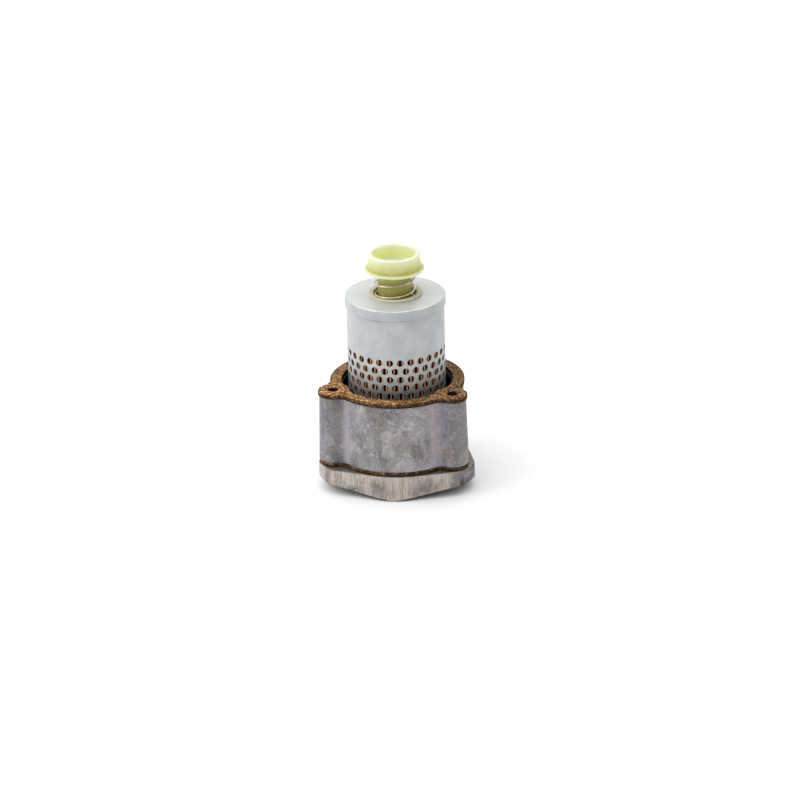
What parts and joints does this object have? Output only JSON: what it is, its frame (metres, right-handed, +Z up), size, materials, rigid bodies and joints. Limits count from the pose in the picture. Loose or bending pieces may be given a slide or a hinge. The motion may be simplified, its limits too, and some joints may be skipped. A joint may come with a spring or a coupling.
{
  "type": "hydraulic filter",
  "caption": "Hydraulic filter: a perforated pleated element with a sprung outlet nose, standing in a lobed cast housing with cork gaskets and a tapered cover.",
  "frame": {"origin": "on the filter's axis, in the plane of the cover's flat underside", "axes": "+Z up along the filter axis, towards the outlet nose; +Y towards the back ear, with the other two ears at the front left and front right"},
  "size_m": [0.105, 0.1035, 0.1612],
  "materials": {
    "cast_cover": "brushed",
    "cast_housing": "as cast",
    "cork_gasket": "granular",
    "plated_steel": "satin",
    "element_sealant": "matte",
    "filter_paper": "resin treated",
    "olive_rubber": "matte",
    "spring_steel": "satin",
    "pale_nylon": "translucent satin"
  },
  "bodies": {
    "filter_body": {"base_cover": "cast_cover", "lower_gasket": "cork_gasket", "filter_housing": "cast_housing", "upper_gasket": "cork_gasket", "bottom_end_cap": "plated_steel", "bottom_potting": "element_sealant", "centre_tube": "plated_steel", "pleated_media": "filter_paper", "media_seam_clip": "plated_steel", "outer_shroud": "plated_steel", "top_potting": "element_sealant", "top_end_cap": "plated_steel", "seal_grommet": "olive_rubber", "spring_seat_washer": "spring_steel", "nose_spring": "spring_steel"},
    "nose": {"outlet_nose": "pale_nylon", "stem_retaining_ring": "spring_steel"}
  },
  "joints": [
    {"name": "nose_slide", "type": "slide", "parent": "filter_body", "child": "nose", "axis": [0, 0, 1], "range_m": [-0.012, 0], "stiffness_N_per_m": 850, "springref_m": 0.005, "deforming": ["nose_spring"]}
  ]
}
